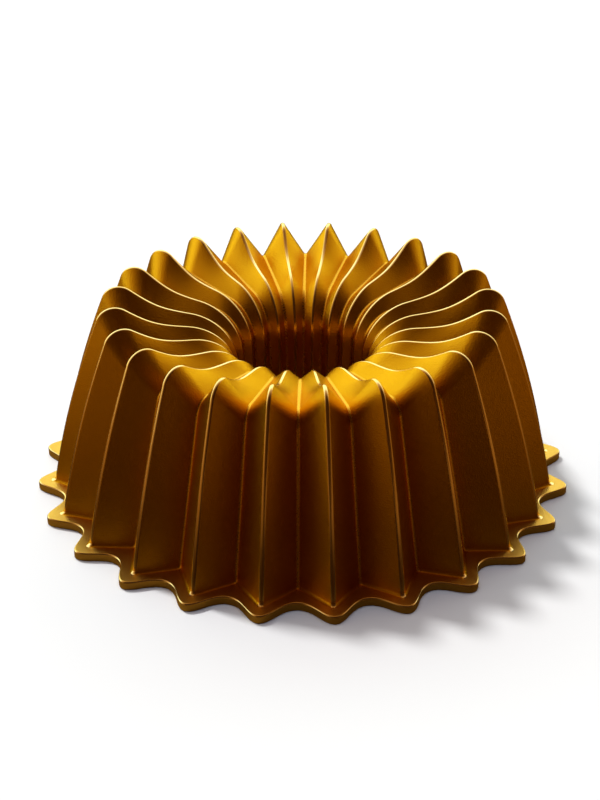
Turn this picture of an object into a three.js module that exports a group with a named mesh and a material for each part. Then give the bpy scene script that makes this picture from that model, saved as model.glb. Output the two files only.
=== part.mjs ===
// Fluted tube pan: a cast ring cake pan with sharp pleats, standing crown up on its lobed rim.
// Millimetres, +Z up. The origin is on the pan's axis, in the plane that the rim rests on.
// The front of the pan is -Y, where a valley between two ridges lies.

import * as THREE from 'three';

// Whole pan
const FLUTE_COUNT = 24;
const PAN_HEIGHT = 95.8;
const WALL_THICKNESS = 3.2;
const CREST_WIDTH = 1.6;
const VALLEY_FLOOR_WIDTH = 1.6;

// Rim flange, with a lobe under each ridge
const FLANGE_THICKNESS = 4.2;
const FLANGE_EDGE_CHAMFER = 0.6;
const LOBE_REACH = 7.4; // lobe tip beyond the ridge line at the rim
const LOBE_DEPTH = 11.4; // lobe tip to notch
const LOBE_SHARPNESS = 0.64; // narrows the lobes and widens the notches

// Ridge line of the outer surface, from the rim over the crown to the tube
const RIDGE_RIM_RADIUS = 122.7;
const RIDGE_NOSE_INSET = 34; // centre of the round nose, inside the rim radius
const RIDGE_NOSE_RADIUS = 9.5;
const RIDGE_WALL_LEAN_DEG = 21.5; // lean of the wall where the nose starts
const RIDGE_FALL_DEG = 33; // fall of the crown where the nose ends
const RIDGE_SHELF_DROP = 11.6; // shelf round the throat, below the top of the pan
const RIDGE_SHELF_FALL_DEG = 6.5;
const RIDGE_THROAT_RADIUS = 26.3; // turn from the shelf down into the tube

// Valley line of the outer surface, between the ridges
const RIM_FLUTE_DEPTH = 14.5; // ridge to valley at the rim
const VALLEY_KNEE_INSET = 26.3; // centre of the round knee, inside the valley's rim radius
const VALLEY_KNEE_DROP = 14.3; // top of the knee, below the top of the pan
const VALLEY_KNEE_RADIUS = 8;
const VALLEY_WALL_LEAN_DEG = 14.5;
const VALLEY_FALL_DEG = 6.8;
const VALLEY_SHELF_DROP = 17.8;
const VALLEY_THROAT_RADIUS = 17;

// Centre tube, open at both ends and a little short of the rim plane
const TUBE_RADIUS = 31; // at the ridges, under the throat
const TUBE_FLUTE_DEPTH = 3;
const TUBE_END_RADIUS = 29.3; // at the ridges, at the free end
const TUBE_END_FLUTE_DEPTH = 1.7;
const TUBE_END_HEIGHT = 3;

// The level planes where the pieces meet lie this far under the turns above them
const WALL_SEAM_DROP = 3.5;
const TUBE_SEAM_DROP = 2;

// Rows of facets along each stretch, and facets across one panel of the flange
const WALL_ROWS = 6;
const SHOULDER_ROWS = 1;
const NOSE_ROWS = 6;
const FALL_ROWS = 4;
const THROAT_ROWS = 5;
const TUBE_ROWS = 3;
const FLANGE_PANEL_FACETS = 5;

// Satin gold coat
const GOLD = 0xb9842a;
const GOLD_ROUGHNESS = 0.36;
const GOLD_METALNESS = 0.9;

const PITCH = (2 * Math.PI) / FLUTE_COUNT;
const FRONT = -Math.PI / 2;
const STRAIGHT_UP = Math.PI / 2;
const FALL_HANDLE = 0.45; // share of the fall's length that keeps to the slope at each of its ends

const radians = THREE.MathUtils.degToRad;

/** A ridge or valley line as the curves of its wall, nose, fall, throat and tube, in (radius, height). */
function meridian(line) {
  const wallLean = radians(line.wallLeanDeg);
  const noseEnd = STRAIGHT_UP + radians(line.fallDeg);
  const noseHeight = line.topHeight - line.noseRadius;
  const nose = new THREE.ArcCurve(line.noseCentre, noseHeight, line.noseRadius, wallLean, noseEnd);
  const throatStart = STRAIGHT_UP + radians(line.shelfFallDeg);
  const throatCentre = line.tubeRadius + line.throatRadius;
  const throatHeight = line.shelfHeight - line.throatRadius;
  const throat = new THREE.ArcCurve(throatCentre, throatHeight, line.throatRadius, throatStart, Math.PI);
  const tubeEnd = new THREE.Vector2(line.tubeEndRadius, TUBE_END_HEIGHT);
  return {
    wall: wallCurve(line.rimRadius, nose.getPoint(0), wallLean),
    nose,
    fall: fallCurve(nose, throat),
    throat,
    tube: new THREE.LineCurve(throat.getPoint(1), tubeEnd),
  };
}

/** The wall bows outwards from the rim plane to its lean at the top, with heights even along the curve. */
function wallCurve(rimRadius, top, topLean) {
  const halfHeight = top.y / 2;
  const bow = new THREE.Vector2(top.x + halfHeight * Math.tan(topLean), halfHeight);
  return new THREE.QuadraticBezierCurve(new THREE.Vector2(rimRadius, 0), bow, top);
}

/** The crown falls from the nose to the throat in one smooth sweep. */
function fallCurve(nose, throat) {
  const start = nose.getPoint(1);
  const end = throat.getPoint(0);
  const handle = FALL_HANDLE * start.distanceTo(end);
  return new THREE.CubicBezierCurve(
    start,
    nose.getTangent(1).multiplyScalar(handle).add(start),
    throat.getTangent(0).multiplyScalar(-handle).add(end),
    end,
  );
}

const ridge = meridian({
  rimRadius: RIDGE_RIM_RADIUS,
  wallLeanDeg: RIDGE_WALL_LEAN_DEG,
  noseCentre: RIDGE_RIM_RADIUS - RIDGE_NOSE_INSET,
  noseRadius: RIDGE_NOSE_RADIUS,
  topHeight: PAN_HEIGHT,
  fallDeg: RIDGE_FALL_DEG,
  shelfHeight: PAN_HEIGHT - RIDGE_SHELF_DROP,
  shelfFallDeg: RIDGE_SHELF_FALL_DEG,
  throatRadius: RIDGE_THROAT_RADIUS,
  tubeRadius: TUBE_RADIUS,
  tubeEndRadius: TUBE_END_RADIUS,
});

const valley = meridian({
  rimRadius: RIDGE_RIM_RADIUS - RIM_FLUTE_DEPTH,
  wallLeanDeg: VALLEY_WALL_LEAN_DEG,
  noseCentre: RIDGE_RIM_RADIUS - RIM_FLUTE_DEPTH - VALLEY_KNEE_INSET,
  noseRadius: VALLEY_KNEE_RADIUS,
  topHeight: PAN_HEIGHT - VALLEY_KNEE_DROP,
  fallDeg: VALLEY_FALL_DEG,
  shelfHeight: PAN_HEIGHT - VALLEY_SHELF_DROP,
  shelfFallDeg: VALLEY_FALL_DEG,
  throatRadius: VALLEY_THROAT_RADIUS,
  tubeRadius: TUBE_RADIUS + TUBE_FLUTE_DEPTH,
  tubeEndRadius: TUBE_END_RADIUS + TUBE_END_FLUTE_DEPTH,
});

const WALL_SEAM_HEIGHT = Math.min(ridge.wall.v2.y, valley.wall.v2.y) - WALL_SEAM_DROP;
const TUBE_SEAM_HEIGHT = Math.min(ridge.tube.v1.y, valley.tube.v1.y) - TUBE_SEAM_DROP;

/** Where a ridge or valley line stands on one of its curves, with the outward normal there. */
function place(curve, t) {
  const tangent = curve.getTangent(t);
  return { point: curve.getPoint(t), normal: new THREE.Vector2(tangent.y, -tangent.x) };
}

/** How far along a wall or tube curve a height lies: heights run evenly along both. */
function shareAtHeight(curve, height) {
  const bottom = curve.getPoint(0).y;
  return (height - bottom) / (curve.getPoint(1).y - bottom);
}

/** Moves a place into the metal by the wall's thickness, allowing for the slant of the panels beside it. */
function inset(from, opposite, level) {
  const width = ((from.point.x + opposite.point.x) / 2) * (PITCH / 2);
  const depth = opposite.point.clone().sub(from.point).dot(from.normal);
  const distance = (WALL_THICKNESS * Math.hypot(width, depth)) / width;
  if (level) {
    return new THREE.Vector2(from.point.x - distance / from.normal.x, from.point.y);
  }
  return from.point.clone().addScaledVector(from.normal, -distance);
}

/** One station on ridge and valley: its outer points, and its inner points a wall's thickness inside. */
function station(ridgePlace, valleyPlace, level) {
  return {
    outer: pleatLoop(ridgePlace.point, valleyPlace.point),
    inner: pleatLoop(inset(ridgePlace, valleyPlace, level), inset(valleyPlace, ridgePlace, level)),
  };
}

/** Stations at even heights on the wall or the tube, kept level so that the pieces meet on flat planes. */
function levelStations(name, fromHeight, toHeight, rows) {
  return evenSteps(rows).map((share) => {
    const height = THREE.MathUtils.lerp(fromHeight, toHeight, share);
    return station(placeAtHeight(ridge[name], height), placeAtHeight(valley[name], height), true);
  });
}

function placeAtHeight(curve, height) {
  return place(curve, shareAtHeight(curve, height));
}

/** Stations spread along one curve of the crown, from a share of each line to its end. */
function crownStations(name, rows, ridgeStart = 0, valleyStart = 0) {
  return evenSteps(rows).slice(1).map((share) => {
    const ridgeShare = THREE.MathUtils.lerp(ridgeStart, 1, share);
    const valleyShare = THREE.MathUtils.lerp(valleyStart, 1, share);
    return station(place(ridge[name], ridgeShare), place(valley[name], valleyShare), false);
  });
}

function evenSteps(rows) {
  return Array.from({ length: rows + 1 }, (_, row) => row / rows);
}

function aroundAxis(radius, angle, height) {
  return new THREE.Vector3(radius * Math.cos(angle), radius * Math.sin(angle), height);
}

/** A closed loop round the pan: a narrow crest and a narrow valley floor for each flute. */
function pleatLoop(ridgePoint, valleyPoint) {
  const halfCrest = CREST_WIDTH / 2 / ridgePoint.x;
  const halfFloor = VALLEY_FLOOR_WIDTH / 2 / valleyPoint.x;
  const loop = [];
  for (let flute = 0; flute < FLUTE_COUNT; flute++) {
    const ridgeAngle = FRONT + PITCH / 2 + flute * PITCH;
    const valleyAngle = ridgeAngle + PITCH / 2;
    loop.push(aroundAxis(ridgePoint.x, ridgeAngle - halfCrest, ridgePoint.y));
    loop.push(aroundAxis(ridgePoint.x, ridgeAngle + halfCrest, ridgePoint.y));
    loop.push(aroundAxis(valleyPoint.x, valleyAngle - halfFloor, valleyPoint.y));
    loop.push(aroundAxis(valleyPoint.x, valleyAngle + halfFloor, valleyPoint.y));
  }
  return loop;
}

/** Adds points along the panels of a pleat loop, so that it can be joined to a rounder loop. */
function dividePanels(loop, facets) {
  return loop.flatMap((corner, index) => {
    const next = loop[(index + 1) % loop.length];
    const startsPanel = index % 2 === 1;
    return evenSteps(startsPanel ? facets : 1).slice(0, -1).map((share) => corner.clone().lerp(next, share));
  });
}

/** A closed ring of metal through loops that run up its outer side and back along its inner side. */
function ringSolid(loops) {
  const around = loops[0].length;
  const flute = around / FLUTE_COUNT;
  const index = [];
  loops.forEach((_, row) => {
    const here = row * around;
    const above = ((row + 1) % loops.length) * around;
    for (let column = 0; column < around; column++) {
      const next = (column + 1) % around;
      const [a, b, c, d] = [here + column, here + next, above + next, above + column];
      const mirrored = column % flute >= flute / 2;
      index.push(...(mirrored ? [a, b, d, b, c, d] : [a, b, c, a, c, d]));
    }
  });
  const geometry = new THREE.BufferGeometry().setFromPoints(loops.flat());
  geometry.setIndex(index);
  geometry.computeVertexNormals();
  return geometry;
}

function shell(stations) {
  const outer = stations.map((at) => at.outer);
  const inner = stations.map((at) => at.inner);
  return ringSolid([...outer, ...inner.reverse()]);
}

function goldCoat() {
  return new THREE.MeshStandardMaterial({
    color: GOLD,
    roughness: GOLD_ROUGHNESS,
    metalness: GOLD_METALNESS,
  });
}

function piece(name, geometry) {
  const mesh = new THREE.Mesh(geometry, goldCoat());
  mesh.name = name;
  return mesh;
}

const wallStations = levelStations('wall', FLANGE_THICKNESS, WALL_SEAM_HEIGHT, WALL_ROWS);
const tubeStations = levelStations('tube', TUBE_SEAM_HEIGHT, TUBE_END_HEIGHT, TUBE_ROWS);

/** The lobed edge of the flange: a lobe's tip under each ridge and a notch under each valley. */
function lobeRadius(angle) {
  const wave = FLUTE_COUNT * (angle - FRONT) + Math.PI;
  const middle = RIDGE_RIM_RADIUS + LOBE_REACH - LOBE_DEPTH / 2 - LOBE_SHARPNESS;
  return middle + (LOBE_DEPTH / 2) * Math.cos(wave) + LOBE_SHARPNESS * Math.cos(2 * wave);
}

/** Flat flange with the pan's pleated mouth through it and chamfered edges on its lobes. */
function rimFlange() {
  const mouth = dividePanels(wallStations[0].inner, FLANGE_PANEL_FACETS);
  const mouthAt = (height) => mouth.map((p) => new THREE.Vector3(p.x, p.y, height));
  const edgeAt = (height, setback) => mouth.map((p) => {
    const angle = Math.atan2(p.y, p.x);
    return aroundAxis(lobeRadius(angle) - setback, angle, height);
  });
  return piece('rim_flange', ringSolid([
    mouthAt(0),
    edgeAt(0, FLANGE_EDGE_CHAMFER),
    edgeAt(FLANGE_EDGE_CHAMFER, 0),
    edgeAt(FLANGE_THICKNESS - FLANGE_EDGE_CHAMFER, 0),
    edgeAt(FLANGE_THICKNESS, FLANGE_EDGE_CHAMFER),
    mouthAt(FLANGE_THICKNESS),
  ]));
}

/** Pleated wall, standing on the flange round its mouth. */
function flutedWall() {
  return piece('fluted_wall', shell(wallStations));
}

/** Shoulder, saddle and throat, from the top of the wall to the top of the tube. */
function flutedCrown() {
  const wallTop = [ridge, valley].map((line) => shareAtHeight(line.wall, WALL_SEAM_HEIGHT));
  return piece('fluted_crown', shell([
    wallStations.at(-1),
    ...crownStations('wall', SHOULDER_ROWS, ...wallTop),
    ...crownStations('nose', NOSE_ROWS),
    ...crownStations('fall', FALL_ROWS),
    ...crownStations('throat', THROAT_ROWS),
    tubeStations[0],
  ]));
}

/** Fluted tube, hanging from the throat. */
function centreTube() {
  return piece('centre_tube', shell(tubeStations));
}

const pan = new THREE.Group();
pan.name = 'fluted_tube_pan';
pan.add(rimFlange(), flutedWall(), flutedCrown(), centreTube());

export default pan;
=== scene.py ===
"""Looks of the fluted tube pan: fine surfaces, satin gold finish, floor, light and camera."""

import math
from typing import NamedTuple

import bpy
import numpy as np
from mathutils import Matrix, Vector


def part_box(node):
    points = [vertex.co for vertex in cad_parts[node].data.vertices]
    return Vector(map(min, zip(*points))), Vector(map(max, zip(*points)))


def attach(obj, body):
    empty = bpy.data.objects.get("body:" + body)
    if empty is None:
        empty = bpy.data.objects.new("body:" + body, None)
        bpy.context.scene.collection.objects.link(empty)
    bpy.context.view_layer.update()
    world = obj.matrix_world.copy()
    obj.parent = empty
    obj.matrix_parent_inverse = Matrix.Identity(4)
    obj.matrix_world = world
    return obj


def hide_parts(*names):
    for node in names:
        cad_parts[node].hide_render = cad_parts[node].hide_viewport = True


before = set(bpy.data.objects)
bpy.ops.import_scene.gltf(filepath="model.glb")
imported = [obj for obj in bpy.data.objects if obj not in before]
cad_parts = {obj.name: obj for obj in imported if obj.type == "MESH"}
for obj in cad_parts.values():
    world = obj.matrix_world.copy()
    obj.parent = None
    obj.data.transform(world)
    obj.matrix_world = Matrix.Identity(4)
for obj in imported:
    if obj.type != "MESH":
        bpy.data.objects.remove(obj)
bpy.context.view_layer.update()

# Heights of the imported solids, in metres
PAN_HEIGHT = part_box("fluted_crown")[1].z
FLANGE_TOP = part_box("rim_flange")[1].z
WALL_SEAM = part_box("fluted_wall")[1].z
TUBE_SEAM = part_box("centre_tube")[1].z
TUBE_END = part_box("centre_tube")[0].z

# Pleats: the crest narrows towards the throat, down to the least share of its width at the rim
FLUTE_COUNT = 24
PITCH = 2 * math.pi / FLUTE_COUNT
FRONT = -math.pi / 2
WALL_THICKNESS = 0.0032
CREST_WIDTH = 0.0018
CREST_ROUND = 0.0008
CREST_LEAST_SHARE = 0.5
VALLEY_FLOOR_WIDTH = 0.0011

# Ridge line of the outer surface
RIDGE_RIM_RADIUS = 0.1227
RIDGE_NOSE_INSET = 0.034
RIDGE_NOSE_RADIUS = 0.0095
RIDGE_WALL_LEAN = math.radians(21.5)
RIDGE_FALL = math.radians(33)
RIDGE_SHELF_DROP = 0.0116
RIDGE_SHELF_FALL = math.radians(6.5)
RIDGE_THROAT_RADIUS = 0.0263

# Valley line of the outer surface
RIM_FLUTE_DEPTH = 0.0145
VALLEY_KNEE_INSET = 0.0263
VALLEY_KNEE_DROP = 0.0143
VALLEY_KNEE_RADIUS = 0.008
VALLEY_WALL_LEAN = math.radians(14.5)
VALLEY_FALL = math.radians(6.8)
VALLEY_SHELF_DROP = 0.0178
VALLEY_THROAT_RADIUS = 0.017

# Length of the handles of the curve from the nose to the throat, as a share of its span
FALL_HANDLE = 0.45

# Centre tube
TUBE_RADIUS = 0.031
TUBE_FLUTE_DEPTH = 0.003
TUBE_END_RADIUS = 0.0293
TUBE_END_FLUTE_DEPTH = 0.0017
TUBE_LIP_ROUND = 0.0009

# Rim flange: the shares are places of its loops between the mouth and the lobed edge
LOBE_REACH = 0.0074
LOBE_DEPTH = 0.0114
LOBE_SHARPNESS = 0.00064
FLANGE_TOP_ROUND = 0.0008
FLANGE_BOTTOM_ROUND = 0.0005
FLANGE_SHARES = (0.15, 0.5, 0.85)
MOUTH_ROUND = 0.0012
FOOT_FILLET = 0.0013

# Fineness of the surfaces: rows along the pan, steps across half a pleat and steps round a lobe
WALL_ROWS = 26
SHOULDER_ROWS = 4
NOSE_ROWS = 16
FALL_ROWS = 13
THROAT_ROWS = 15
TUBE_ROWS = 14
ROUND_ROWS = 5
CREST_STEPS = 6
PANEL_STEPS = 8
FLOOR_STEPS = 4
LOBE_STEPS = 40

# Painted highlights and polish: crests are painted a paler gold and made smoother, fully where the pan faces
# up, and less on the steep wall. The facing is the upward part of the normal. Valley floors take a share of
# both.
HIGHLIGHT_AND_POLISH_FACING = (0.45, 0.85)
WALL_HIGHLIGHT_AND_POLISH = 0.6
VALLEY_HIGHLIGHT_AND_POLISH = 0.3

# Gold coat
LIGHT_GOLD = (0.76, 0.37, 0.009)
DARK_GOLD = (0.66, 0.30, 0.006)
LIGHT_RIM_GOLD = (0.80, 0.48, 0.10)
DARK_RIM_GOLD = (0.70, 0.40, 0.07)
# Paler gold painted on the crests, valley floors and the flange's top edge as painted highlights
PAINTED_HIGHLIGHT_GOLD = (0.98, 0.76, 0.36)
EDGE_TINT = (1.0, 0.88, 0.5)
CLOUD_SCALE = 22.0
CLOUD_DETAIL = 4.0
PATCHY_CLOUDS = (0.3, 0.6)
PATCHY_LEAST = 0.75
PALING_POWER = 2.0
GRAIN_SCALE = 1600.0
GRAIN_HEIGHT = 0.00009
FLAKE_SCALE = 1500.0
ROUGHNESS_SPREAD = 0.05
OUTER_ROUGHNESS = 0.33
RIM_ROUGHNESS = 0.38
INNER_ROUGHNESS = 0.5
WORN_ROUGHNESS = 0.2

# White floor and the two lamps that light it
FLOOR_SIZE = 40.0
FLOOR_DROP = 0.0001
FLOOR_COLOUR = (0.80, 0.80, 0.80)
MATT_ROUGHNESS = 0.9
SHADOW_LAMP_STRENGTH = 2.4
SHADOW_LAMP_COLOUR = (1.0, 1.0, 1.0)
SHADOW_LAMP_SPREAD = math.radians(8)
SHADOW_LAMP_DIRECTION = (0.40, -0.41, -0.82)
SKY_LAMP_STRENGTH = 1.0
SKY_LAMP_COLOUR = (0.64, 0.78, 1.0)
SKY_LAMP_SPREAD = math.radians(60)
SKY_LAMP_DIRECTION = (0.0, 0.0, -1.0)

# Brown card seen only in the metal, as painted reflections: it fades with the distance to the side, and from
# the ring by the rim
CARD_SIZE = 6.0
CARD_DROP = 0.00005
CARD_DARK = (0.022, 0.0095, 0.004)
CARD_LIGHT = (0.26, 0.14, 0.05)
CARD_FADE = (0.08, 0.45)
CARD_RING = (0.131, 0.152)
CARD_RING_COLOUR = (0.17, 0.12, 0.06)

# Window of light behind the pan: its colours run from the shade round it to its middle
WINDOW_AZIMUTH = math.radians(108)
WINDOW_SLOPE = -0.5
WINDOW_FADE = (-0.8, 0.6)
WINDOW_COLOUR = (1.58, 1.85, 1.75)
WINDOW_EDGE_COLOUR = (0.73, 0.52, 0.31)
WINDOW_EDGE_SHARE = 0.6
FILL_COLOUR = (0.31, 0.165, 0.06)
FILL_SHARE = 0.2
SHADE_COLOUR = (0.042, 0.017, 0.007)

# Camera
CAMERA_DISTANCE = 0.9162
CAMERA_AZIMUTH = math.radians(1.211)
CAMERA_ELEVATION = math.radians(31.021)
CAMERA_YAW = math.radians(0.077)
CAMERA_PITCH = math.radians(2.245)
CAMERA_ROLL = math.radians(-0.151)
CAMERA_LENS = 82.735
CAMERA_SENSOR = 36.0

OUTER_FINISH = 0
INNER_FINISH = 1
UP = (0, 0, 1)
DOWN = (0, 0, -1)


# Ridge and valley lines, in (radius, height)

def steps(count):
    return np.linspace(0, 1, count + 1)


def bezier(*controls):
    """A Bezier curve as a function of t that gives points and outward normals."""
    def at(t):
        t = np.asarray(t, float)[:, None]
        layer = [np.broadcast_to(np.asarray(c, float), (len(t), 2)) for c in controls]
        while len(layer) > 2:
            layer = [(1 - t) * a + t * b for a, b in zip(layer, layer[1:])]
        start, end = layer
        tangent = (end - start) / np.linalg.norm(end - start, axis=1, keepdims=True)
        return (1 - t) * start + t * end, np.stack([tangent[:, 1], -tangent[:, 0]], axis=1)
    return at


def arc(centre, radius, start, end):
    """A circular arc as a function of t that gives points and outward normals."""
    def at(t):
        angle = start + (end - start) * np.asarray(t, float)
        out = np.stack([np.cos(angle), np.sin(angle)], axis=1)
        return np.asarray(centre) + radius * out, out
    return at


def turned(angle):
    """Direction of travel on an arc, at an angle on it."""
    return np.array([-math.sin(angle), math.cos(angle)])


def meridian(
    rim, lean, nose_centre, nose_radius, top, fall, shelf, shelf_fall, throat_radius, tube, tube_end,
):
    """The curves of a ridge or valley line, and the heights where its wall ends and its tube starts."""
    nose_end = math.pi / 2 + fall
    throat_start = math.pi / 2 + shelf_fall
    nose = arc((nose_centre, top - nose_radius), nose_radius, lean, nose_end)
    throat = arc((tube + throat_radius, shelf - throat_radius), throat_radius, throat_start, math.pi)
    wall_top = nose([0.0])[0][0]
    bow = (wall_top[0] + wall_top[1] / 2 * math.tan(lean), wall_top[1] / 2)
    fall_start = nose([1.0])[0][0]
    fall_end = throat([0.0])[0][0]
    handle = FALL_HANDLE * np.linalg.norm(fall_end - fall_start)
    tube_top = throat([1.0])[0][0]
    return {
        "wall": bezier((rim, 0.0), bow, wall_top),
        "nose": nose,
        "fall": bezier(
            fall_start,
            fall_start + handle * turned(nose_end),
            fall_end - handle * turned(throat_start),
            fall_end,
        ),
        "throat": throat,
        "tube": bezier(tube_top, (tube_end, TUBE_END)),
        "wall_height": wall_top[1],
        "tube_height": tube_top[1],
    }


RIDGE = meridian(
    rim=RIDGE_RIM_RADIUS,
    lean=RIDGE_WALL_LEAN,
    nose_centre=RIDGE_RIM_RADIUS - RIDGE_NOSE_INSET,
    nose_radius=RIDGE_NOSE_RADIUS,
    top=PAN_HEIGHT,
    fall=RIDGE_FALL,
    shelf=PAN_HEIGHT - RIDGE_SHELF_DROP,
    shelf_fall=RIDGE_SHELF_FALL,
    throat_radius=RIDGE_THROAT_RADIUS,
    tube=TUBE_RADIUS,
    tube_end=TUBE_END_RADIUS,
)
VALLEY = meridian(
    rim=RIDGE_RIM_RADIUS - RIM_FLUTE_DEPTH,
    lean=VALLEY_WALL_LEAN,
    nose_centre=RIDGE_RIM_RADIUS - RIM_FLUTE_DEPTH - VALLEY_KNEE_INSET,
    nose_radius=VALLEY_KNEE_RADIUS,
    top=PAN_HEIGHT - VALLEY_KNEE_DROP,
    fall=VALLEY_FALL,
    shelf=PAN_HEIGHT - VALLEY_SHELF_DROP,
    shelf_fall=VALLEY_FALL,
    throat_radius=VALLEY_THROAT_RADIUS,
    tube=TUBE_RADIUS + TUBE_FLUTE_DEPTH,
    tube_end=TUBE_END_RADIUS + TUBE_END_FLUTE_DEPTH,
)


class Stations(NamedTuple):
    """Places along the ridge line and the valley line, row by row, with their outward normals."""

    ridge: np.ndarray
    ridge_normal: np.ndarray
    valley: np.ndarray
    valley_normal: np.ndarray

    def rows(self, part):
        return Stations(*(values[part] for values in self))


def along(curve, ridge_shares, valley_shares):
    """Stations at shares of the length of one curve of both lines."""
    return Stations(*RIDGE[curve](ridge_shares), *VALLEY[curve](valley_shares))


def on_wall(heights):
    return along("wall", heights / RIDGE["wall_height"], heights / VALLEY["wall_height"])


def on_tube(heights):
    shares = [
        (line["tube_height"] - heights) / (line["tube_height"] - TUBE_END)
        for line in (RIDGE, VALLEY)
    ]
    return along("tube", *shares)


def joined(*stations):
    return Stations(*(np.concatenate(values) for values in zip(*stations)))


def crown_stations():
    """From the wall's seam over the shoulder, nose, fall and throat to the tube's seam."""
    shoulder = steps(SHOULDER_ROWS)
    starts = [WALL_SEAM / line["wall_height"] for line in (RIDGE, VALLEY)]
    return joined(
        along("wall", *(start + (1 - start) * shoulder for start in starts)),
        along("nose", steps(NOSE_ROWS)[1:], steps(NOSE_ROWS)[1:]),
        along("fall", steps(FALL_ROWS)[1:], steps(FALL_ROWS)[1:]),
        along("throat", steps(THROAT_ROWS)[1:], steps(THROAT_ROWS)[1:]),
        on_tube(np.array([TUBE_SEAM])),
    )


def offset(from_points, from_normals, opposite, distance, level):
    """Moves a line into the metal by a distance square to the panels beside it."""
    width = (from_points[:, 0] + opposite[:, 0]) / 2 * PITCH / 2
    depth = np.sum((opposite - from_points) * from_normals, axis=1)
    reach = distance * np.hypot(width, depth) / width
    straight_in = np.stack([1 / from_normals[:, 0], np.zeros(len(reach))], axis=1)
    across = np.where(level[:, None], straight_in, from_normals)
    return from_points - reach[:, None] * across


def inset(at, distance, level):
    """Stations moved into the metal, straight inwards on the level rows and along the normal elsewhere."""
    return at._replace(
        ridge=offset(at.ridge, at.ridge_normal, at.valley, distance, level),
        valley=offset(at.valley, at.valley_normal, at.ridge, distance, level),
    )


# Loops round the pan

def around(radius, angle, height):
    """Points at a radius from the pan's axis, an angle round it and a height."""
    places = np.broadcast_arrays(radius * np.cos(angle), radius * np.sin(angle), height)
    return np.stack(places, axis=-1)


def round_corner(start, corner, end, count):
    """Points on the circular arc that rounds a corner between two places equally far from it."""
    turn = np.sum((corner - start) * (end - corner), axis=-1)
    turn = turn / np.linalg.norm(corner - start, axis=-1) / np.linalg.norm(end - corner, axis=-1)
    weight = np.sqrt((1 + turn) / 2)[:, None, None]
    t = steps(count)[None, :, None]
    blend = [(1 - t) ** 2, 2 * t * (1 - t) * weight, t ** 2]
    return sum(b * p[:, None] for b, p in zip(blend, (start, corner, end))) / sum(blend)


def half_flute(ridge, valley):
    """One panel of a pleat, row by row, from the middle of its crest to the middle of the valley floor."""
    half = PITCH / 2
    ridge_radius, ridge_height = ridge.T
    valley_radius, valley_height = valley.T
    taper = np.clip(ridge_radius / RIDGE_RIM_RADIUS, CREST_LEAST_SHARE, 1)
    rounding = CREST_ROUND * taper[:, None]
    crest_turn = CREST_WIDTH * taper / 2 / ridge_radius
    floor_turn = VALLEY_FLOOR_WIDTH / 2 / valley_radius
    crest = around(ridge_radius * np.cos(crest_turn), 0.0, ridge_height)
    top = around(ridge_radius, crest_turn, ridge_height)
    foot = around(valley_radius, half - floor_turn, valley_height)
    floor = around(valley_radius * np.cos(floor_turn), half, valley_height)
    down = (foot - top) / np.linalg.norm(foot - top, axis=1, keepdims=True)
    crest_end = top - rounding * (0, 1, 0)
    panel_start = top + rounding * down
    panel_end = foot - down * VALLEY_FLOOR_WIDTH / 2
    share = steps(PANEL_STEPS)[None, 1:-1, None]
    return np.concatenate([
        crest[:, None],
        round_corner(crest_end, top, panel_start, CREST_STEPS),
        panel_start[:, None] * (1 - share) + panel_end[:, None] * share,
        round_corner(panel_end, foot, floor, FLOOR_STEPS),
    ], axis=1)


def pleat_loops(at):
    """Closed loops round the pan through stations: a rounded crest and a rounded floor for each flute."""
    panel = half_flute(at.ridge, at.valley)
    mirrored = panel[:, :0:-1] * (1, -1, 1)
    flute = np.concatenate([mirrored, panel[:, :-1]], axis=1)
    loops = []
    for number in range(FLUTE_COUNT):
        angle = FRONT + PITCH / 2 + number * PITCH
        turn = np.array(Matrix.Rotation(angle, 3, "Z"))
        loops.append(flute @ turn.T)
    return np.concatenate(loops, axis=1)


def crest_highlight_and_polish():
    """Share of painted highlight and polish that each column of a pleat loop takes: crests take all, valley
    floors some.
    """
    panel_edges = 2
    panel = np.concatenate([
        np.ones(CREST_STEPS),
        np.zeros(PANEL_STEPS + panel_edges),
        np.full(FLOOR_STEPS, VALLEY_HIGHLIGHT_AND_POLISH),
    ])
    return np.tile(np.concatenate([panel[:0:-1], panel[:-1]]), FLUTE_COUNT)


def loop_normals(loops):
    """Outward normals of a surface through loops that run on with the metal to their left."""
    across = np.roll(loops, -1, axis=1) - np.roll(loops, 1, axis=1)
    onward = np.gradient(loops, axis=0)
    normals = np.cross(across, onward)
    return normals / np.linalg.norm(normals, axis=2, keepdims=True)


# Surfaces of the pieces

class Strip(NamedTuple):
    """Loops round the pan, one after another, that share a smooth surface and a finish."""

    points: np.ndarray
    normals: np.ndarray
    highlight_and_polish: np.ndarray
    finish: int


class Pleats(NamedTuple):
    """The pan's pleated outside and inside as loops, and the first row of the crown and of the tube."""

    outside: np.ndarray
    outside_normals: np.ndarray
    inside: np.ndarray
    inside_normals: np.ndarray
    crown_row: int
    tube_row: int


def foot_rows():
    """Heights of the fillet at the foot of the wall, and how far it stands out from the wall there."""
    turn = steps(ROUND_ROWS) * math.pi / 2
    heights = FLANGE_TOP + FOOT_FILLET * (1 - np.sin(turn))
    reach = FOOT_FILLET * (1 - np.cos(turn))
    return heights[::-1], reach[::-1]


def lip_rows():
    """Heights of the rounded lip at the end of the tube, and how far it draws in there."""
    turn = steps(ROUND_ROWS)[1:] * math.pi / 2
    return TUBE_END + TUBE_LIP_ROUND * (1 - np.sin(turn)), TUBE_LIP_ROUND * (1 - np.cos(turn))


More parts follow.
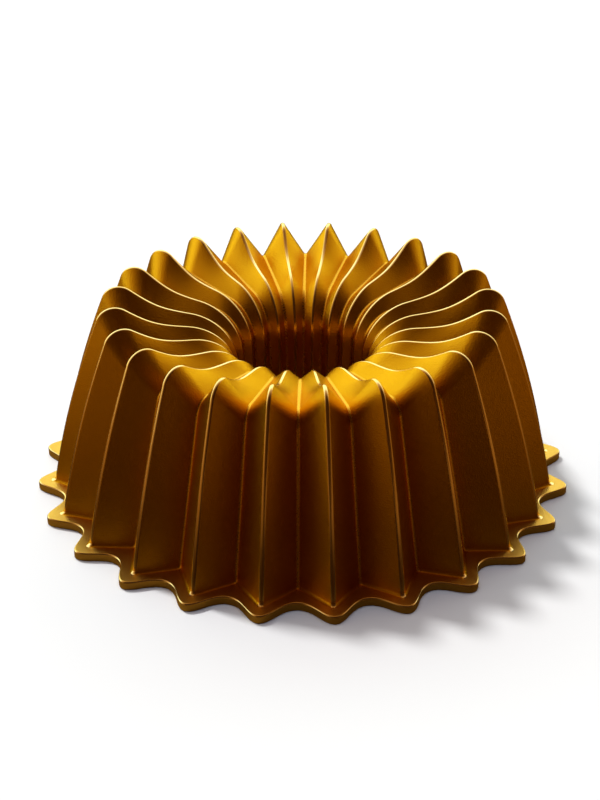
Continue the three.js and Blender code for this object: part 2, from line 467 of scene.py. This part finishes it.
def pan_pleats():
    """Outside and inside of the whole pan, from the wall's foot over the crown to the end of the tube."""
    foot_heights, foot_reach = foot_rows()
    lip_heights, lip_draw = lip_rows()
    wall_heights = np.linspace(FLANGE_TOP + FOOT_FILLET, WALL_SEAM, WALL_ROWS + 1)[1:]
    tube_heights = np.linspace(TUBE_SEAM, TUBE_END + TUBE_LIP_ROUND, TUBE_ROWS + 1)[1:]
    wall = on_wall(np.concatenate([foot_heights, wall_heights]))
    crown = crown_stations()
    tube = on_tube(np.concatenate([tube_heights, lip_heights]))
    pan = joined(wall, crown.rows(slice(1, None)), tube)
    crown_row = len(wall.ridge) - 1
    tube_row = crown_row + len(crown.ridge) - 1
    level = np.ones(len(pan.ridge), bool)
    level[crown_row + 1:tube_row] = False
    draw = np.zeros(len(pan.ridge))
    draw[:len(foot_reach)] = -foot_reach
    draw[-len(lip_draw):] = lip_draw
    back = np.full(len(pan.ridge), WALL_THICKNESS)
    back[-len(lip_draw):] -= lip_draw
    outside = pleat_loops(inset(pan, draw, level))
    returning = pleat_loops(inset(pan, back, level))[::-1]
    return Pleats(
        outside,
        loop_normals(outside),
        returning[::-1],
        loop_normals(returning)[::-1],
        crown_row,
        tube_row,
    )


def cap(start, end, normal):
    """A flat ring between two loops."""
    points = np.stack([start, end])
    normals = np.broadcast_to(np.asarray(normal, float), points.shape)
    return Strip(points, normals, np.zeros(points.shape[:2]), INNER_FINISH)


def pleated_strips(pleats, first, last, first_facing, last_facing):
    """A closed length of the pleated shell: outside, inside and the flat rings at both ends."""
    rows = slice(first, last + 1)
    # Painted highlight and polish on the outside's crests and valley floors, fuller where they face up.
    upward = pleats.outside_normals[rows][..., 2].max(axis=1)
    highlight_and_polish = crest_highlight_and_polish() * np.interp(upward, HIGHLIGHT_AND_POLISH_FACING, (WALL_HIGHLIGHT_AND_POLISH, 1))[:, None]
    outside = Strip(pleats.outside[rows], pleats.outside_normals[rows], highlight_and_polish, OUTER_FINISH)
    inside = Strip(
        pleats.inside[rows][::-1],
        pleats.inside_normals[rows][::-1],
        np.zeros(highlight_and_polish.shape),
        INNER_FINISH,
    )
    return [
        outside,
        cap(outside.points[-1], inside.points[0], last_facing),
        inside,
        cap(inside.points[-1], outside.points[0], first_facing),
    ]


def lobe_radius(angle):
    """Radius of the flange's edge: a wave with one lobe at each ridge, a little sharper than its gaps."""
    wave = FLUTE_COUNT * (angle - FRONT) + math.pi
    middle = RIDGE_RIM_RADIUS + LOBE_REACH - LOBE_DEPTH / 2 - LOBE_SHARPNESS
    return middle + LOBE_DEPTH / 2 * np.cos(wave) + LOBE_SHARPNESS * np.cos(2 * wave)


def flange_strips(pleats):
    """The lobed flange: underside, rounded edge, top face and the side of the mouth."""
    angle = FRONT + PITCH * np.arange(FLUTE_COUNT * LOBE_STEPS) / LOBE_STEPS
    mouth_x, mouth_y, _ = pleats.inside[0].T
    mouth_angles = np.arctan2(mouth_y, mouth_x)
    mouth = np.interp(angle, mouth_angles, np.hypot(mouth_x, mouth_y), period=2 * math.pi)
    edge = lobe_radius(angle)
    turn = steps(ROUND_ROWS) * math.pi / 2

    def between(share, height):
        return around(mouth + (edge - mouth) * share, angle, height)

    mouth_turn = [
        around(mouth + MOUTH_ROUND * (1 - math.cos(t)), angle, MOUTH_ROUND * (1 - math.sin(t)))
        for t in turn
    ]
    bottom_turn = [
        around(
            edge - FLANGE_BOTTOM_ROUND * (1 - math.sin(t)),
            angle,
            FLANGE_BOTTOM_ROUND * (1 - math.cos(t)),
        )
        for t in turn
    ]
    top_turn = [
        around(
            edge - FLANGE_TOP_ROUND * (1 - math.cos(t)),
            angle,
            FLANGE_TOP - FLANGE_TOP_ROUND * (1 - math.sin(t)),
        )
        for t in turn
    ]
    loops = np.stack([
        *mouth_turn,
        *(between(share, 0.0) for share in FLANGE_SHARES),
        *bottom_turn,
        *top_turn,
        *(between(share, FLANGE_TOP) for share in reversed(FLANGE_SHARES)),
        around(mouth, angle, FLANGE_TOP),
    ])
    highlight_and_polish = np.zeros(loops.shape[:2])
    # Painted highlight and polish along the rounded top edge of the flange.
    top_start = len(mouth_turn) + len(FLANGE_SHARES) + len(bottom_turn)
    highlight_and_polish[top_start:top_start + len(top_turn)] = np.sin(2 * turn)[:, None]
    side = np.stack([loops[-1], loops[0]])
    return [
        Strip(loops, loop_normals(loops), highlight_and_polish, OUTER_FINISH),
        Strip(side, loop_normals(side), np.zeros(side.shape[:2]), INNER_FINISH),
    ]


# Meshes

def ring_mesh(name, strips):
    """A closed ring of metal from strips: each one starts where the last one ends."""
    columns = strips[0].points.shape[1]
    points = np.concatenate([strip.points[:-1] for strip in strips])
    highlight_and_polish = np.concatenate([strip.highlight_and_polish[:-1] for strip in strips])
    starts = np.cumsum([0, *(len(strip.highlight_and_polish) - 1 for strip in strips[:-1])])
    ends = [strip.highlight_and_polish[-1] for strip in (strips[-1], *strips[:-1])]
    highlight_and_polish[starts] = np.maximum(highlight_and_polish[starts], ends)
    quads = []
    corner_normals = []
    finishes = []
    column = np.arange(columns)
    following = (column + 1) % columns
    first = 0
    for strip in strips:
        for row in range(len(strip.points) - 1):
            here = (first + row) * columns
            above = (first + row + 1) % len(points) * columns
            corners = [here + column, here + following, above + following, above + column]
            quads.append(np.stack(corners, axis=1))
            below, beyond = strip.normals[row], strip.normals[row + 1]
            normals = [below, below[following], beyond[following], beyond]
            corner_normals.append(np.stack(normals, axis=1))
            finishes.append(np.full(columns, strip.finish))
        first += len(strip.points) - 1
    mesh = bpy.data.meshes.new(name)
    mesh.from_pydata(points.reshape(-1, 3).tolist(), [], np.concatenate(quads).tolist())
    mesh.polygons.foreach_set("material_index", np.concatenate(finishes).astype(np.int32))
    mesh.shade_smooth()
    mesh.normals_split_custom_set(np.concatenate(corner_normals).reshape(-1, 3).tolist())
    # Mask of painted highlight and polish, read by the gold coat.
    highlight_and_polish_layer = mesh.attributes.new("highlight_and_polish", "FLOAT", "POINT")
    highlight_and_polish_layer.data.foreach_set("value", highlight_and_polish.ravel().astype(np.float32))
    mesh.validate()
    return mesh


def make_piece(name, strips, node, materials):
    """A region of the pan as its own object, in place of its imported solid."""
    piece = bpy.data.objects.new(name, ring_mesh(name, strips))
    bpy.context.scene.collection.objects.link(piece)
    for material in materials:
        piece.data.materials.append(material)
    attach(piece, "root")
    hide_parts(node)


# Shader nodes

def set_inputs(node, inputs):
    """Gives each input a value, or links it to the output of another node."""
    for name, value in inputs.items():
        if isinstance(value, bpy.types.NodeSocket):
            node.id_data.links.new(value, node.inputs[name])
        else:
            node.inputs[name].default_value = value


def add_node(tree, kind, inputs, **settings):
    node = tree.nodes.new(f"ShaderNode{kind}")
    for name, value in settings.items():
        setattr(node, name, value)
    set_inputs(node, inputs)
    return node


def calculated(tree, operation, *values):
    """Result of a sum on values, each a number or the output of a node."""
    return add_node(tree, "Math", dict(enumerate(values)), operation=operation).outputs["Value"]


def ranged(tree, value, start, end, low=0.0, high=1.0, interpolation="LINEAR"):
    """A value's place between start and end, mapped to between low and high and held there beyond."""
    inputs = {"Value": value, "From Min": start, "From Max": end, "To Min": low, "To Max": high}
    return add_node(tree, "MapRange", inputs, interpolation_type=interpolation).outputs["Result"]


def mixed(tree, kind, factor, first, second):
    """Mix of two colours or numbers, each a value or the output of a node."""
    inputs = {"Factor": factor, "A": first, "B": second}
    return add_node(tree, "Mix", inputs, data_type=kind).outputs["Result"]


def new_material(name):
    """A material, with its node tree and its shader."""
    material = bpy.data.materials.new(name)
    material.use_nodes = True
    tree = material.node_tree
    return material, tree, tree.nodes["Principled BSDF"]


def gold_coat(name, dark, light, roughness):
    """Satin gold baked coat: metallic, with a sandy grain, faint clouding, and crests and edges painted
    paler as highlights.
    """
    material, tree, surface = new_material(name)
    place = add_node(tree, "TexCoord", {}).outputs["Object"]
    cloud_inputs = {"Vector": place, "Scale": CLOUD_SCALE, "Detail": CLOUD_DETAIL}
    clouds = add_node(tree, "TexNoise", cloud_inputs).outputs["Fac"]
    sand = add_node(tree, "TexVoronoi", {"Vector": place, "Scale": GRAIN_SCALE}).outputs["Distance"]
    flakes = add_node(tree, "TexVoronoi", {"Vector": place, "Scale": FLAKE_SCALE}).outputs["Color"]
    highlight_and_polish = add_node(tree, "Attribute", {}, attribute_name="highlight_and_polish").outputs["Fac"]

    gold = mixed(tree, "RGBA", clouds, (*dark, 1), (*light, 1))
    patches = ranged(tree, clouds, *PATCHY_CLOUDS, PATCHY_LEAST)
    # Painted highlight: the crests and edges are painted a paler gold, in patches.
    painted_highlight = calculated(tree, "POWER", calculated(tree, "MULTIPLY", highlight_and_polish, patches), PALING_POWER)
    colour = mixed(tree, "RGBA", painted_highlight, gold, (*PAINTED_HIGHLIGHT_GOLD, 1))

    satin = ranged(tree, flakes, 0.0, 1.0, roughness - ROUGHNESS_SPREAD, roughness + ROUGHNESS_SPREAD)
    polished = ranged(tree, highlight_and_polish, 0.0, WALL_HIGHLIGHT_AND_POLISH)
    gloss = mixed(tree, "FLOAT", polished, satin, WORN_ROUGHNESS)

    grainy = calculated(tree, "SUBTRACT", 1.0, polished)
    bump = add_node(tree, "Bump", {"Strength": grainy, "Distance": GRAIN_HEIGHT, "Height": sand})

    set_inputs(surface, {
        "Base Color": colour,
        "Metallic": 1.0,
        "Roughness": gloss,
        "Specular Tint": (*EDGE_TINT, 1),
        "Normal": bump.outputs["Normal"],
    })
    return material


# Floor, light and camera

def level_sheet(name, size, drop):
    """A square sheet centred under the pan, a little below the level that the pan stands on."""
    half = size / 2
    corners = [(x, y, -drop) for x, y in ((-half, -half), (half, -half), (half, half), (-half, half))]
    mesh = bpy.data.meshes.new(name)
    mesh.from_pydata(corners, [], [(0, 1, 2, 3)])
    sheet = bpy.data.objects.new(name, mesh)
    bpy.context.scene.collection.objects.link(sheet)
    return sheet


def make_floor():
    """White floor that takes the pan's shadow and stays out of the metal's reflections."""
    floor = level_sheet("floor", FLOOR_SIZE, FLOOR_DROP)
    material, _, surface = new_material("white_floor")
    set_inputs(surface, {
        "Base Color": (*FLOOR_COLOUR, 1),
        "Roughness": MATT_ROUGHNESS,
        "Specular IOR Level": 0.0,
    })
    floor.data.materials.append(material)
    floor.visible_glossy = False


def make_floor_lamp(name, strength, colour, spread, direction):
    """Distant lamp that lights the floor alone: the pan's metal doesn't mirror it, but casts its shadow."""
    lamp = bpy.data.lights.new(name, "SUN")
    lamp.energy = strength
    lamp.color = colour
    lamp.angle = spread
    holder = bpy.data.objects.new(name, lamp)
    bpy.context.scene.collection.objects.link(holder)
    holder.rotation_mode = "QUATERNION"
    holder.rotation_quaternion = Vector(direction).to_track_quat("-Z", "Y")
    holder.visible_glossy = False


def make_painted_reflection_card():
    """Dark brown card round the pan, lighter to both sides and by the rim, seen only in the pan's metal as
    painted reflections.
    """
    card = level_sheet("painted_reflection_card", CARD_SIZE, CARD_DROP)
    material, tree, surface = new_material("painted_reflection_brown")
    place = add_node(tree, "TexCoord", {}).outputs["Object"]
    sideways = add_node(tree, "SeparateXYZ", {"Vector": place}).outputs["X"]
    outward = ranged(tree, calculated(tree, "ABSOLUTE", sideways), *CARD_FADE)
    distance = add_node(tree, "VectorMath", {0: place}, operation="LENGTH").outputs["Value"]
    beside = ranged(tree, distance, *CARD_RING, 1.0, 0.0)
    brown = mixed(tree, "RGBA", outward, (*CARD_DARK, 1), (*CARD_LIGHT, 1))
    set_inputs(surface, {
        "Base Color": mixed(tree, "RGBA", beside, brown, (*CARD_RING_COLOUR, 1)),
        "Roughness": MATT_ROUGHNESS,
        "Specular IOR Level": 0.0,
    })
    card.data.materials.append(material)
    card.visible_camera = False
    card.visible_diffuse = False
    card.visible_shadow = False


def make_world():
    """Studio surround: a broad window of light behind the pan, warm at its edge, and dim shade elsewhere."""
    world = bpy.data.worlds.new("studio")
    world.use_nodes = True
    tree = world.node_tree
    direction = add_node(tree, "TexCoord", {}).outputs["Generated"]
    middle = (math.cos(WINDOW_AZIMUTH), math.sin(WINDOW_AZIMUTH), WINDOW_SLOPE)
    towards = add_node(tree, "VectorMath", {0: direction, 1: middle}, operation="DOT_PRODUCT")
    window = ranged(tree, towards.outputs["Value"], *WINDOW_FADE, interpolation="SMOOTHSTEP")
    colour = add_node(tree, "ValToRGB", {"Fac": window})
    stops = colour.color_ramp.elements
    stops.new(FILL_SHARE)
    stops.new(WINDOW_EDGE_SHARE)
    for stop, light in zip(stops, (SHADE_COLOUR, FILL_COLOUR, WINDOW_EDGE_COLOUR, WINDOW_COLOUR)):
        stop.color = (*light, 1)
    set_inputs(tree.nodes["Background"], {"Color": colour.outputs["Color"]})
    bpy.context.scene.world = world


def make_camera():
    """Camera at the photograph's viewing angle: an orbit round the pan, then a small turn, tilt and roll."""
    azimuth, elevation = CAMERA_AZIMUTH, CAMERA_ELEVATION
    back = Vector((
        math.sin(azimuth) * math.cos(elevation),
        -math.cos(azimuth) * math.cos(elevation),
        math.sin(elevation),
    ))
    right = Vector((math.cos(azimuth), math.sin(azimuth), 0))
    up = back.cross(right)
    stand = Matrix((right, up, back)).transposed()
    turn = Matrix.Rotation(CAMERA_YAW, 3, "Y")
    tilt = Matrix.Rotation(CAMERA_PITCH, 3, "X")
    roll = Matrix.Rotation(CAMERA_ROLL, 3, "Z")
    data = bpy.data.cameras.new("camera")
    data.sensor_width = CAMERA_SENSOR
    data.lens = CAMERA_LENS
    camera = bpy.data.objects.new("camera", data)
    bpy.context.scene.collection.objects.link(camera)
    place = Matrix.Translation(back * CAMERA_DISTANCE)
    camera.matrix_world = place @ (stand @ turn @ tilt @ roll).to_4x4()
    bpy.context.scene.camera = camera


# The pan

outer_gold = gold_coat("gold_coat", DARK_GOLD, LIGHT_GOLD, OUTER_ROUGHNESS)
rim_gold = gold_coat("rim_coat", DARK_RIM_GOLD, LIGHT_RIM_GOLD, RIM_ROUGHNESS)
inner_gold = gold_coat("release_coat", DARK_GOLD, LIGHT_GOLD, INNER_ROUGHNESS)

pleats = pan_pleats()
last_row = len(pleats.outside) - 1
make_piece(
    "rim_flange_surface",
    flange_strips(pleats),
    "rim_flange",
    (rim_gold, inner_gold),
)
make_piece(
    "fluted_wall_surface",
    pleated_strips(pleats, 0, pleats.crown_row, DOWN, UP),
    "fluted_wall",
    (outer_gold, inner_gold),
)
make_piece(
    "fluted_crown_surface",
    pleated_strips(pleats, pleats.crown_row, pleats.tube_row, DOWN, DOWN),
    "fluted_crown",
    (outer_gold, inner_gold),
)
make_piece(
    "centre_tube_surface",
    pleated_strips(pleats, pleats.tube_row, last_row, UP, DOWN),
    "centre_tube",
    (outer_gold, inner_gold),
)

# The studio

make_floor()
make_floor_lamp(
    "shadow_lamp",
    SHADOW_LAMP_STRENGTH,
    SHADOW_LAMP_COLOUR,
    SHADOW_LAMP_SPREAD,
    SHADOW_LAMP_DIRECTION,
)
make_floor_lamp("sky_lamp", SKY_LAMP_STRENGTH, SKY_LAMP_COLOUR, SKY_LAMP_SPREAD, SKY_LAMP_DIRECTION)
make_painted_reflection_card()
make_world()
make_camera()
bpy.context.scene.view_settings.view_transform = "Standard"
